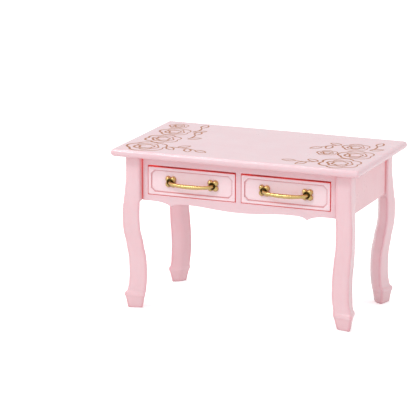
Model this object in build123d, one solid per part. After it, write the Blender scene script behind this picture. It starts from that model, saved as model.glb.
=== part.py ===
"""A doll's house dressing table: a moulded top on four cabriole legs, a boxed-in case below it,
and two drawers side by side, each with a brass bow handle.

Everything is in millimetres. The table stands on z = 0 with its length along X. Its front,
where the drawers come out, faces -Y. One STEP file is written for each separate piece.
"""
import os

from build123d import *

# ---- Driving dimensions ------------------------------------------------------------------

# The whole table
table_length = 80.0
table_depth = 45.6
table_height = 50.6

# Top board, with a rounded nose all the way round
top_thickness = 2.4
side_overhang = 3.6
front_overhang = 3.3

# Case: the frame, panels and boards between the legs, all hung from the top
case_height = 13.9            # from the underside of the top to the front frame's edge beside a leg
frame_thickness = 1.6
frame_setback = 1.65          # front frame behind the front faces of the legs
panel_thickness = 1.4
panel_setback = 0.75          # side and back panels inside the outer faces of the legs
panel_height = 13.0
floor_thickness = 1.1

# Openings in the front frame
top_rail = 2.7
opening_height = 9.2
centre_stile = 1.7
end_stile = 2.0

# Shaped lower edge of the front frame, measured from the leg and from the edge's height there
nib_from_leg = 9.6
nib_drop = 1.4
arch_rise = 0.05
crest_from_nib = 4.2
crest_drop = 0.3
belly_drop = 1.2

# Legs: square at the post, then a soft kite with its rounded ridge at the outer corner
post_width = 4.8
ridge_radius = 0.7
flank_radius = 0.5
inner_corner_radius = 0.9
knee_below_case = 4.3
ankle_height = 11.2
throat_height = 6.7
lip_height = 5.3
foot_waist_height = 2.2
foot_edge_radius = 0.3

# How far the post's ridge swells out past its square: low down, and beside the case's edge
post_swell_height = 4.1       # above the case's edge
post_swell = 0.24
case_swell = 0.6
post_straight = 8.5           # from here up the post is a plain square

# Each lower level of the leg: how far the ridge stands out past the post, the width of its two
# outer faces, how far the inner end of each outer face turns in, and the depth of the kite
level_knee = (0.93, 5.65, 0.86, 4.0)
level_shin = (0.16, 5.80, 0.72, 4.1)
level_ankle = (-0.50, 5.90, 0.85, 4.1)
level_throat = (0.05, 6.20, 1.05, 4.3)
level_lip = (0.34, 6.35, 1.10, 4.4)
level_foot_waist = (0.20, 5.70, 1.05, 4.0)
level_sole = (-0.10, 4.90, 1.00, 3.4)

# Drawers
gap_above = 0.5
gap_below = 0.3
gap_beside = 0.35
field_inset_side = 1.2
field_inset_top = 1.45
field_cant = 0.8
field_depth = 0.3
tray_inset = 0.45             # tray narrower than its opening, on each side
tray_wall = 0.9
tray_floor = 0.9
tray_below_opening = 1.5      # the tray's rim below the top of its opening
tray_stop_gap = 0.3           # tray short of the back panel when the drawer is shut
running_clearance = 0.06
guide_height = 4.6

# Bow handles and their rosettes
handle_centres = 13.8
handle_rod_radius = 0.52
handle_reach = 2.1            # from the drawer's field to the middle of the rod, at its ends
handle_bow = 0.35             # further forward again in the middle
handle_bend_radius = 0.75
pin_radius = 0.45
pin_clearance = 0.05
lobe_radius = 0.92
lobe_offset = 0.83
lobe_height = 0.95
boss_radius = 1.15
boss_height = 0.55
cup_radius = 0.85
cup_depth = 0.4

# ---- Places worked out from them ---------------------------------------------------------

under_top = table_height - top_thickness
leg_x = table_length / 2 - side_overhang
leg_y = table_depth / 2 - front_overhang
post_inner_x = leg_x - post_width
post_inner_y = leg_y - post_width
case_z = under_top - case_height

frame_front_y = -leg_y + frame_setback
frame_back_y = frame_front_y + frame_thickness
front_thickness = frame_thickness    # a shut front is flush and stops on the divider and guide
back_panel_outer_y = leg_y - panel_setback
back_panel_inner_y = back_panel_outer_y - panel_thickness
side_panel_outer_x = leg_x - panel_setback
side_panel_inner_x = side_panel_outer_x - panel_thickness
panel_z = under_top - panel_height

opening_top = under_top - top_rail
opening_z = opening_top - opening_height
opening_inner_x = centre_stile / 2
opening_outer_x = post_inner_x - end_stile
opening_width = opening_outer_x - opening_inner_x
drawer_centre_x = (opening_inner_x + opening_outer_x) / 2

tray_inner_x = opening_inner_x + tray_inset
tray_outer_x = opening_outer_x - tray_inset
tray_front_y = frame_front_y + front_thickness
tray_back_y = back_panel_inner_y - tray_stop_gap
field_y = frame_front_y + field_depth


def block(x0, x1, y0, y1, z0, z1):
    """A plain board between two corners."""
    board = Box(x1 - x0, y1 - y0, z1 - z0, align=(Align.MIN, Align.MIN, Align.MIN))
    return Pos(x0, y0, z0) * board


def tabletop():
    """Two rounded-edge boards crossed and kept where they overlap: the nose turns every corner."""
    middle_z = table_height - top_thickness / 2
    along_x = SlotOverall(table_length, top_thickness)
    along_y = SlotOverall(table_depth, top_thickness)
    length_bar = extrude(Plane.XZ * along_x, table_depth / 2, both=True)
    depth_bar = extrude(Plane.YZ * along_y, table_length / 2, both=True)
    return Pos(0, 0, middle_z) * (length_bar & depth_bar)


def apron_edge():
    """The front frame's lower edge from the right leg to the left: arch, nib, long shallow belly."""
    nib = (post_inner_x - nib_from_leg, case_z - nib_drop)
    crest = (nib[0] - crest_from_nib, case_z - crest_drop)
    arch = (post_inner_x - nib_from_leg / 3, case_z + arch_rise)
    leg_end = (post_inner_x, case_z)
    belly = (0, case_z - belly_drop)
    by_leg = Spline(leg_end, arch, nib, tangents=[(-1, 0), (-1, -0.75)])
    middle = Spline(nib, crest, belly, tangents=[(-1, 1.1), (-1, 0)])
    right = by_leg + middle
    return right + mirror(right, about=Plane.YZ)


def front_frame():
    """One flat board with both drawer openings and the shaped lower edge."""
    sides = Polyline((post_inner_x, case_z), (post_inner_x, under_top),
                     (-post_inner_x, under_top), (-post_inner_x, case_z))
    outline = make_face(apron_edge() + sides)
    board = extrude(Plane.XZ.offset(-frame_front_y) * outline, -frame_thickness)
    for side in (-1, 1):
        middle = Pos(side * drawer_centre_x, (frame_front_y + frame_back_y) / 2,
                     (opening_top + opening_z) / 2)
        board -= middle * Box(opening_width, 2 * frame_thickness, opening_height)
    return board


def side_panel(side):
    """A plain panel between the front and back legs of one end."""
    inner, outer = sorted((side * side_panel_inner_x, side * side_panel_outer_x))
    return block(inner, outer, -post_inner_y, post_inner_y, panel_z, under_top)


def back_panel():
    """A plain panel between the two back legs."""
    return block(-post_inner_x, post_inner_x, back_panel_inner_y, back_panel_outer_y,
                 panel_z, under_top)


def case_floor():
    """The board the drawers run on, notched round the four posts."""
    floor_z = opening_z - floor_thickness
    board = block(-post_inner_x, post_inner_x, frame_back_y, back_panel_inner_y, floor_z, opening_z)
    board += block(-side_panel_inner_x, side_panel_inner_x, -post_inner_y, post_inner_y,
                   floor_z, opening_z)
    return board


def centre_divider():
    """The upright board between the drawers, a running fit against both trays."""
    half = tray_inner_x - running_clearance
    return block(-half, half, frame_back_y, back_panel_inner_y, opening_z, under_top)


def drawer_guide(side):
    """A low rail on the floor beside the posts, a running fit against one tray."""
    inner, outer = sorted((side * (tray_outer_x + running_clearance), side * post_inner_x))
    return block(inner, outer, frame_back_y, back_panel_inner_y, opening_z,
                 opening_z + guide_height)


def rounded_kite(height, ridge, flank, inner):
    """One level of the leg, seen from above, for the leg whose body lies towards +X and +Y."""
    long_flank, short_flank = flank
    outline = Polyline((ridge, ridge), (long_flank, short_flank), (inner, inner),
                       (short_flank, long_flank), close=True)
    kite = make_face(outline)
    corners = kite.vertices().sort_by(lambda corner: corner.X + corner.Y)
    kite = fillet(corners[0], ridge_radius)
    corners = kite.vertices().sort_by(lambda corner: corner.X + corner.Y)
    kite = fillet(corners[-1], inner_corner_radius)
    flanks = kite.vertices().sort_by(lambda corner: abs(corner.X - corner.Y))[-2:]
    kite = fillet(flanks, flank_radius)
    return Pos(0, 0, height) * kite


def leg_section(height, level):
    """A level below the case, given as in the table of levels."""
    out, face, turn_in, depth = level
    return rounded_kite(height, -out, (face - out, turn_in - out), depth - out)


def case_section(height, out, inner):
    """A level of the post: its flanks stay on the square and only its ridge swells."""
    return rounded_kite(height, -out, (post_width, 0), inner)


def front_left_leg():
    """Foot, shin and post, each lofted through its own levels and fused into one leg."""
    knee_z = case_z - knee_below_case
    shin_z = (knee_z + ankle_height) / 2
    swell_z = case_z + post_swell_height
    reach = 4 * post_width
    knee_depth = level_knee[3] - level_knee[0]

    foot = loft([
        leg_section(0, level_sole),
        leg_section(foot_waist_height, level_foot_waist),
        leg_section(lip_height, level_lip),
    ])
    shin = loft([
        leg_section(lip_height, level_lip),
        leg_section(throat_height, level_throat),
        leg_section(ankle_height, level_ankle),
        leg_section(shin_z, level_shin),
        leg_section(knee_z, level_knee),
        case_section(case_z, case_swell, knee_depth),
        case_section(swell_z, post_swell, knee_depth),
    ])
    shin &= block(-reach, reach, -reach, reach, 0, case_z)
    post = loft([
        case_section(knee_z, level_knee[0], post_width),
        case_section(case_z, case_swell, post_width),
        case_section(swell_z, post_swell, post_width),
        case_section(case_z + post_straight, 0.0, post_width),
        case_section(under_top, 0.0, post_width),
    ])
    post &= block(-reach, reach, -reach, reach, case_z, under_top)
    leg = foot + shin + post
    sole = leg.edges().filter_by_position(Axis.Z, -0.01, 0.01)
    leg = fillet(sole, foot_edge_radius)
    return Pos(-leg_x, -leg_y, 0) * leg


def drawer_front():
    """The left drawer's face board: a sunk field with canted corners and two holes for the pins."""
    x0 = opening_inner_x + gap_beside
    x1 = opening_outer_x - gap_beside
    z0 = opening_z + gap_below
    z1 = opening_top - gap_above
    board = block(-x1, -x0, frame_front_y, frame_front_y + front_thickness, z0, z1)
    field_width = x1 - x0 - 2 * field_inset_side
    field_height = z1 - z0 - 2 * field_inset_top
    field = Rectangle(field_width, field_height)
    field = chamfer(field.vertices(), field_cant)
    middle = Pos(-drawer_centre_x, frame_front_y, (z0 + z1) / 2)
    board -= middle * extrude(Plane.XZ * field, field_depth, both=True)
    for pin_x in handle_xs():
        hole = Rot(90, 0, 0) * Cylinder(pin_radius + pin_clearance, 4 * front_thickness)
        board -= Pos(pin_x, frame_front_y, handle_z()) * hole
    return board


def handle_z():
    """The handle sits at the middle of the drawer front's height."""
    return (opening_z + gap_below + opening_top - gap_above) / 2


def handle_xs():
    """The two pin places on the left drawer."""
    return (-drawer_centre_x - handle_centres / 2, -drawer_centre_x + handle_centres / 2)


def drawer_tray():
    """The left drawer's open box, which runs on the case floor."""
    z0 = opening_z + running_clearance
    rim = opening_top - tray_below_opening
    tray = block(-tray_outer_x, -tray_inner_x, tray_front_y, tray_back_y, z0, rim)
    tray -= block(-tray_outer_x + tray_wall, -tray_inner_x - tray_wall,
                  tray_front_y + tray_wall, tray_back_y - tray_wall,
                  z0 + tray_floor, rim + tray_wall)
    return tray


def bow_handle():
    """The left drawer's bow: two pins through the front, bent over into one bowed rod."""
    rod_y = field_y - handle_reach
    left_x, right_x = handle_xs()
    middle_x = (left_x + right_x) / 2
    path = FilletPolyline(
        (left_x, field_y), (left_x, rod_y), (middle_x, rod_y - handle_bow),
        (right_x, rod_y), (right_x, field_y),
        radius=[handle_bend_radius, 8 * handle_centres, handle_bend_radius],
    )
    start = Plane(origin=(left_x, field_y, 0), z_dir=(0, -1, 0))
    bow = sweep(start * Circle(handle_rod_radius), path=path)
    for pin_x in (left_x, right_x):
        length = tray_front_y - field_y
        pin = Rot(90, 0, 0) * Cylinder(pin_radius, length)
        bow += Pos(pin_x, field_y + length / 2, 0) * pin
    return Pos(0, 0, handle_z()) * bow


def rosette(pin_x):
    """A four-lobed cup round one pin, flat against the drawer's field."""
    lobe = scale(Sphere(lobe_radius), by=(1, lobe_height / lobe_radius, 1))
    boss = Pos(0, -boss_height / 2, 0) * (Rot(90, 0, 0) * Cylinder(boss_radius, boss_height))
    cup = boss
    for across in (-1, 1):
        for up in (-1, 1):
            cup += Pos(across * lobe_offset, 0, up * lobe_offset) * lobe
    reach = 2 * (lobe_offset + lobe_radius)
    cup &= block(-reach, reach, -reach, 0, -reach, reach)
    well = Rot(90, 0, 0) * Cylinder(cup_radius, 2 * lobe_height)
    cup -= Pos(0, -(boss_height - cup_depth) - lobe_height, 0) * well
    bore = Rot(90, 0, 0) * Cylinder(handle_rod_radius + pin_clearance, 4 * lobe_height)
    cup -= bore
    return Pos(pin_x, field_y, handle_z()) * cup


def write(name, piece):
    """Save one piece under its node name."""
    piece.label = name
    export_step(piece, f"parts/{name}.step")
    print(f"{name:28s} {len(piece.solids())} solid  {piece.volume:8.2f} mm3")


def main():
    """Write every piece: the fixed table first, then the drawers as a mirrored pair."""
    os.makedirs("parts", exist_ok=True)
    write("tabletop", tabletop())
    write("front_frame", front_frame())
    write("back_panel", back_panel())
    write("case_floor", case_floor())
    write("centre_divider", centre_divider())
    for name, side in (("left", -1), ("right", 1)):
        write(f"{name}_side_panel", side_panel(side))
        write(f"{name}_drawer_guide", drawer_guide(side))

    front_left = front_left_leg()
    write("front_left_leg", front_left)
    write("front_right_leg", mirror(front_left, about=Plane.YZ))
    write("back_left_leg", mirror(front_left, about=Plane.XZ))
    write("back_right_leg", Rot(0, 0, 180) * front_left)

    outer_x, inner_x = handle_xs()
    left_drawer = {
        "front": drawer_front(),
        "tray": drawer_tray(),
        "bow_handle": bow_handle(),
        "outer_rosette": rosette(outer_x),
        "inner_rosette": rosette(inner_x),
    }
    for name, piece in left_drawer.items():
        write(f"left_drawer_{name}", piece)
        write(f"right_drawer_{name}", mirror(piece, about=Plane.YZ))


main()
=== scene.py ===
# %% [markdown]
# # A doll's house dressing table
#
# The real thing is a toy about 80 mm long, moulded in pale pink plastic. It has a thin top with a
# rounded nose, a boxed-in case with two drawers, four small cabriole legs and brass bow handles,
# and a gold-brown ornament is printed on two corners of the top.
#
# The solid model is loaded first and never changed. It says where everything is and what moves.
# Each visible surface is then built around it, in the order a maker would finish the toy: finishes
# first, then boards, top, legs, drawers, brass, print, and at last the light and the camera.

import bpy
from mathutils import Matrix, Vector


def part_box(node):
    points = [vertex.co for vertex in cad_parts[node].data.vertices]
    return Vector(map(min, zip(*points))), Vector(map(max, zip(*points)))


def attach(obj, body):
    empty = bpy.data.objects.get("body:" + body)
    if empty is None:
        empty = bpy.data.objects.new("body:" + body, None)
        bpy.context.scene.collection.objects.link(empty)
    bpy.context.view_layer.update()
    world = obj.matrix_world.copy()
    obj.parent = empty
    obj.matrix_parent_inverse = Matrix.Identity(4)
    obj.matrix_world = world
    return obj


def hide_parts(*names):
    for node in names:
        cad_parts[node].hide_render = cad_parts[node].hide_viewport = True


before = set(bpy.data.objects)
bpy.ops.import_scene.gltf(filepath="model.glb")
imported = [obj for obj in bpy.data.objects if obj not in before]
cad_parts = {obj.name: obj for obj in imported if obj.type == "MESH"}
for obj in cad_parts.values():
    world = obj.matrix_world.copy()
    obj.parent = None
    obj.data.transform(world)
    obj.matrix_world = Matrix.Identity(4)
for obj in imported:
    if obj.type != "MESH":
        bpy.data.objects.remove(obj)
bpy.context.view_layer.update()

# %% Blender's modules and the unit used below
import math

import bmesh
import bpy
from mathutils import Matrix, Vector

MM = 0.001

# %% [markdown]
# ## Places to build from
#
# Everything is placed from the boxes of the solid pieces. We read the few that the later cells
# need, in millimetres: the top's underside, the posts' outer corner, and the drawers' faces.
# Typing such numbers in again would work until the model changed, so they are measured. Only two
# are given: how wide a post is, and how far the front frame stands behind the posts' faces.

# %% Measure the frame
def corners(node):
    """The lowest and highest corner of one solid piece, in millimetres."""
    low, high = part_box(node)
    return low / MM, high / MM


top_low, top_high = corners("tabletop")
frame_low, frame_high = corners("front_frame")
front_low, front_high = corners("left_drawer_front")
outer_low, outer_high = corners("left_drawer_outer_rosette")
inner_low, inner_high = corners("left_drawer_inner_rosette")

UNDER_TOP = top_low.z
POST_WIDTH, FRAME_SET_BACK = 4.8, 1.65
POST_X = frame_high.x + POST_WIDTH
POST_Y = -frame_low.y + FRAME_SET_BACK
FIELD_Y = outer_high.y
HANDLE_Z = (outer_low.z + outer_high.z) / 2
PIN_XS = ((outer_low.x + outer_high.x) / 2, (inner_low.x + inner_high.x) / 2)
print(f"posts at {POST_X:.2f}, {POST_Y:.2f}; drawer field at {FIELD_Y:.2f}; pins at {PIN_XS}")

# %% [markdown]
# ## Small tools for node trees
#
# Both the finishes and the repeating shapes are node trees. Built by hand they would be dozens of
# mouse clicks each, so small helpers add a node, link it, and do sums. A socket knows the tree it
# belongs to, so most helpers need no tree. One more draws a smooth line through a list of levels,
# which is how a turner would note down a profile.

# %% Tools: trees and nodes
def new_tree(name, kind, inputs, outputs):
    """A node group with named sockets: returns the tree, what comes in and what goes out."""
    tree = bpy.data.node_groups.new(name, kind)
    for label, socket_type, value in inputs:
        socket = tree.interface.new_socket(label, in_out="INPUT", socket_type=socket_type)
        if value is not None:
            socket.default_value = value
    for label, socket_type in outputs:
        tree.interface.new_socket(label, in_out="OUTPUT", socket_type=socket_type)
    start = tree.nodes.new("NodeGroupInput")
    end = tree.nodes.new("NodeGroupOutput")
    return tree, start.outputs, end.inputs


LINKABLE = (bpy.types.NodeSocket, bpy.types.Node)


def feed(socket, value):
    """Links a socket to another or to a node's first output, or types a value into it."""
    if isinstance(value, bpy.types.Node):
        value = value.outputs[0]
    if isinstance(value, bpy.types.NodeSocket):
        socket.id_data.links.new(value, socket)
    else:
        socket.default_value = value


def tree_of(values):
    """The tree that the sockets or nodes among some values belong to."""
    return next(value.id_data for value in values if isinstance(value, LINKABLE))


def add(tree, kind, inputs=None, **settings):
    """Adds a node, sets its options, and links or fills the inputs that are named."""
    node = tree.nodes.new(kind)
    for setting, value in settings.items():
        setattr(node, setting, value)
    for name, value in (inputs or {}).items():
        feed(node.inputs[name], value)
    return node


def calc(operation, *values):
    """One sum on numbers."""
    node = tree_of(values).nodes.new("ShaderNodeMath")
    node.operation = operation
    for socket, value in zip(node.inputs, values):
        feed(socket, value)
    return node.outputs[0]


def times(first, second, *others):
    """The product of two or more numbers."""
    product = calc("MULTIPLY", first, second)
    return times(product, *others) if others else product


def plus(first, second):
    """The sum of two numbers."""
    return calc("ADD", first, second)


def minus(first, second):
    """The difference of two numbers."""
    return calc("SUBTRACT", first, second)


def times_plus(first, second, third):
    """The product of two numbers, plus a third."""
    return calc("MULTIPLY_ADD", first, second, third)


FLOAT, COLOUR, VECTOR = "NodeSocketFloat", "NodeSocketColor", "NodeSocketVector"
WHOLE, SHAPE, FINISH = "NodeSocketInt", "NodeSocketGeometry", "NodeSocketMaterial"
print("node tools are ready")

# %% Tools: vectors, blends, profiles and shapes
def vector(x, y, z):
    """A vector from three numbers or sockets."""
    return add(tree_of((x, y, z)), "ShaderNodeCombineXYZ", {"X": x, "Y": y, "Z": z}).outputs[0]


def scaled_by(source, factor):
    """A vector times a number."""
    node = add(source.id_data, "ShaderNodeVectorMath", {0: source}, operation="SCALE")
    feed(node.inputs["Scale"], factor)
    return node.outputs[0]


def parts_of(source):
    """The X, Y and Z of a vector."""
    return add(source.id_data, "ShaderNodeSeparateXYZ", {0: source}).outputs


def remap(value, old_low, old_high, low, high, kind="LINEAR"):
    """Stretches a value from one range to another, and holds it there."""
    sockets = {"Value": value, "From Min": old_low, "From Max": old_high, "To Min": low, "To Max": high}
    return add(value.id_data, "ShaderNodeMapRange", sockets, interpolation_type=kind).outputs[0]


def mix_colour(factor, first, second):
    """Blends from the first colour to the second."""
    node = add(factor.id_data, "ShaderNodeMix", data_type="RGBA")
    for place, value in ((0, factor), (6, first), (7, second)):
        feed(node.inputs[place], value)
    return node.outputs[2]


def profile(along, levels, sharp=()):
    """A value that runs smoothly through (place, value) levels, while `along` goes from 0 to 1."""
    values = [value for _, value in levels]
    low = min(values)
    span = max(max(values) - low, 1e-9)
    node = add(along.id_data, "ShaderNodeFloatCurve", {"Value": along})
    line = node.mapping.curves[0]
    while len(line.points) < len(levels):
        line.points.new(0.5, 0.5)
    for point, (place, value) in zip(line.points, levels):
        point.location = (place, (value - low) / span)
        point.handle_type = "VECTOR" if place in sharp else "AUTO_CLAMPED"
    node.mapping.update()
    return times_plus(node.outputs[0], span, low)


def here(tree):
    """Where each point of a shape is now."""
    return add(tree, "GeometryNodeInputPosition").outputs[0]


def along_line(tree):
    """How far along its line each point is, from 0 to 1."""
    return add(tree, "GeometryNodeSplineParameter").outputs["Factor"]


def moved(shape, place):
    """A shape with its points moved to new places."""
    sockets = {"Geometry": shape, "Position": place}
    return add(shape.id_data, "GeometryNodeSetPosition", sockets).outputs[0]


def send_out(shape, material, output):
    """Ends a shape's tree: real geometry, then its material, then the way out."""
    tree = shape.id_data
    real = add(tree, "GeometryNodeRealizeInstances", {"Geometry": shape})
    coated = add(tree, "GeometryNodeSetMaterial", {"Geometry": real, "Material": material})
    feed(output["Geometry"], coated)


print("blending and shape tools are ready")

# %% [markdown]
# ## Small tools for pieces
#
# A piece is done in the same few steps each time. Its tree or modifiers are turned into a
# plain mesh, its seams are merged and its faces turned outwards, and it is handed to the body that
# it moves with. Live modifiers would also render, but a plain mesh exports as it looks.

# %% Tools: meshes and pieces
def show(name, mesh):
    """Puts a mesh into the scene as a new piece, at the origin."""
    piece = bpy.data.objects.new(name, mesh)
    bpy.context.scene.collection.objects.link(piece)
    return piece


def keep_result(piece):
    """Turns what the piece's modifiers show into its plain mesh, and removes them."""
    graph = bpy.context.evaluated_depsgraph_get()
    made = bpy.data.meshes.new_from_object(piece.evaluated_get(graph))
    piece.modifiers.clear()
    piece.data = made


def close_up(mesh, sharp_angle):
    """Merges the seams, turns the faces outwards, and shades them smooth up to an angle."""
    bm = bmesh.new()
    bm.from_mesh(mesh)
    bmesh.ops.remove_doubles(bm, verts=bm.verts, dist=0.0005 * MM)
    bmesh.ops.recalc_face_normals(bm, faces=bm.faces)
    bm.to_mesh(mesh)
    bm.free()
    mesh.shade_smooth()
    mesh.set_sharp_from_angle(angle=math.radians(sharp_angle))


def grow(name, tree, values, sharp_angle=40):
    """Runs a tree on an empty piece with the given inputs, and keeps the shape that it makes."""
    piece = show(name, bpy.data.meshes.new(name))
    modifier = piece.modifiers.new(tree.name, "NODES")
    modifier.node_group = tree
    for socket in tree.interface.items_tree:
        if socket.in_out == "INPUT" and socket.name in values:
            modifier[socket.identifier] = values[socket.name]
    keep_result(piece)
    close_up(piece.data, sharp_angle)
    return piece


def settle(piece, body, slot, *nodes):
    """Hands a finished piece to its body, in place of the solid pieces it stands for. The slot is not
    used.
    """
    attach(piece, body)
    if nodes:
        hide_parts(*nodes)
    piece.data.calc_loop_triangles()
    print(f"{piece.name}: {len(piece.data.loop_triangles)} triangles on {body}")


# %% [markdown]
# ## Painted shade, glow and paleness, shared by every finish
#
# Hollows, gaps and rooms get less light, and their shade is painted into the colours as darker tints;
# thick places are painted paler, and on brass brighter. Painting that by hand would not survive a
# change of shape. Ambient occlusion measures it instead. Looking a short way outwards it finds
# hollows, looking a long way it finds rooms, and looking inwards it finds thickness, which drops at
# every edge. Plastic and brass both use the group, each with its reach.

# %% Group: hollows and thickness
painted_light_tree, painted_light_in, painted_light_out = new_tree(
    "hollows and thickness", "ShaderNodeTree",
    [("Hollow reach", FLOAT, 1.2 * MM), ("Room reach", FLOAT, 12 * MM),
     ("Thick reach", FLOAT, 0.35 * MM)],
    [("Hollow", FLOAT), ("Deep", FLOAT), ("Shade", FLOAT), ("Shut in", FLOAT), ("Thick", FLOAT)],
)
outward = add(painted_light_tree, "ShaderNodeAmbientOcclusion",
              {"Distance": painted_light_in["Hollow reach"]}, samples=16)
around_room = add(painted_light_tree, "ShaderNodeAmbientOcclusion",
                  {"Distance": painted_light_in["Room reach"]}, samples=8)
inward = add(painted_light_tree, "ShaderNodeAmbientOcclusion",
             {"Distance": painted_light_in["Thick reach"]}, samples=8, inside=True, only_local=True)
# masks for painted shade in hollows, gaps and rooms, a painted glow where shut in, and painted paleness
# or highlight where thick
for label, rays, start, full in (("Hollow", outward, 0.9, 0.2), ("Deep", outward, 0.55, 0.2),
                                 ("Shade", around_room, 0.95, 0.45),
                                 ("Shut in", around_room, 0.5, 0.2), ("Thick", inward, 0.45, 0.95)):
    feed(painted_light_out[label], remap(rays.outputs["AO"], start, full, 0.0, 1.0))
print("hollows and thickness:", len(painted_light_tree.nodes), "nodes")

# %% [markdown]
# ## The moulded surface
#
# Injection-moulded plastic is never one flat colour. The melt leaves faint streaks along the way
# it flowed, the pigment clouds a little, the steel of the mould prints a fine skin on it, and a few
# specks get in. Each is one noise at its own size, and the group adds them up, so the table and
# the drawers can use it with their own colours and flow.

# %% Group: moulded surface
def noise(place, size, detail=2.0):
    """Noise whose features are about `size` millimetres across, from 0 to 1."""
    sockets = {"Vector": place, "Scale": 1 / (size * MM), "Detail": detail}
    return add(place.id_data, "ShaderNodeTexNoise", sockets).outputs["Fac"]


mould_tree, mould_in, mould_out = new_tree(
    "moulded surface", "ShaderNodeTree",
    [("Place", VECTOR, None), ("Flow", VECTOR, (1.0, 1.0, 0.1)),
     ("Main colour", COLOUR, (0.8, 0.6, 0.6, 1.0)), ("Cloud colour", COLOUR, (0.8, 0.5, 0.5, 1.0)),
     ("Speck colour", COLOUR, (0.5, 0.3, 0.3, 1.0)), ("Roughness", FLOAT, 0.3)],
    [("Colour", COLOUR), ("Roughness", FLOAT), ("Height", FLOAT)],
)
clouds = remap(noise(mould_in["Place"], 9.0, 3.0), 0.35, 0.7, 0.0, 0.55)
flow_place = add(mould_tree, "ShaderNodeVectorMath",
                 {0: mould_in["Place"], 1: mould_in["Flow"]}, operation="MULTIPLY").outputs[0]
streaks = remap(noise(flow_place, 0.9, 3.0), 0.4, 0.75, 0.0, 0.5)
skin = noise(mould_in["Place"], 0.75, 2.0)
grain = noise(mould_in["Place"], 0.09, 2.0)
specks = add(mould_tree, "ShaderNodeTexVoronoi",
             {"Vector": mould_in["Place"], "Scale": 1 / (3.2 * MM)}).outputs["Distance"]
speck_mask = remap(specks, 0.05, 0.02, 0.0, 0.5)
cloudy = mix_colour(plus(clouds, streaks), mould_in["Main colour"], mould_in["Cloud colour"])
feed(mould_out["Colour"], mix_colour(speck_mask, cloudy, mould_in["Speck colour"]))
rougher = times_plus(skin, 0.16, -0.08)
rougher = times_plus(clouds, 0.1, rougher)
feed(mould_out["Roughness"], plus(mould_in["Roughness"], rougher))
relief = times_plus(grain, 0.12, skin)
feed(mould_out["Height"], times_plus(streaks, 0.5, relief))
print("moulded surface:", len(mould_tree.nodes), "nodes")

# %% [markdown]
# ## Pink plastic
#
# The plastic lets a little light in, so seams glow a deep rose instead of going grey, and faces that
# look at other pink faces pick up their colour. We give it a weak subsurface weight and paint the rest
# into the colour: painted shade tints what is hollow, shaded or facing down, a darker painted shade
# fills the gaps, a faint red painted glow is added where no lamp reaches, and the plastic is painted
# paler where it is thick. The tints fade out near the floor, which is white. The foot below the lip is
# painted a deeper pink, as shade. Four mixes of one recipe serve the upright boards, the legs, the level
# boards and the drawers; they are lit and shaded copies, the uprights and legs deeper, the drawers
# lighter.

# %% Tools: what every material needs
BLACK = (0.0, 0.0, 0.0, 1.0)


def blank_material(name):
    """A material with its tree, its Principled shader and the object's own coordinates."""
    material = bpy.data.materials.new(name)
    material.use_nodes = True
    tree = material.node_tree
    place = add(tree, "ShaderNodeTexCoord").outputs["Object"]
    return material, tree, tree.nodes["Principled BSDF"], place


def painted_light_of(tree, hollow_reach, thick_reach):
    """The hollows and thick places of a material, for its painted shade and paleness, with its own
    reaches in millimetres.
    """
    painted_light = add(tree, "ShaderNodeGroup", node_tree=painted_light_tree)
    painted_light.inputs["Hollow reach"].default_value = hollow_reach * MM
    painted_light.inputs["Thick reach"].default_value = thick_reach * MM
    return painted_light.outputs


def add_relief(shader, height, strength, depth):
    """Gives a shader a fine relief, `depth` millimetres deep."""
    sockets = {"Strength": strength, "Distance": depth * MM, "Height": height}
    feed(shader.inputs["Normal"], add(shader.id_data, "ShaderNodeBump", sockets).outputs["Normal"])


print("material tools are ready")

# %% Material: pink plastic
# Painted light: a speck red that is also the painted shade in hollows, a painted paleness, painted shade
# for gaps, rooms and the foot, and a painted red glow.
SPECK_AND_HOLLOW_SHADE_RED = (0.62, 0.14, 0.14, 1.0)
PAINTED_PALE_ROSE = (0.93, 0.77, 0.79, 1.0)
GAP_SHADE_COLOUR = (0.40, 0.05, 0.05, 1.0)
PAINTED_GLOW = (0.27, 0.016, 0.013, 1.0)
SHADE_COLOUR = (0.78, 0.33, 0.37, 1.0)
FOOT_SHADE_COLOUR = (0.74, 0.33, 0.38, 1.0)
FOOT_TOP = 3.85


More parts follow.
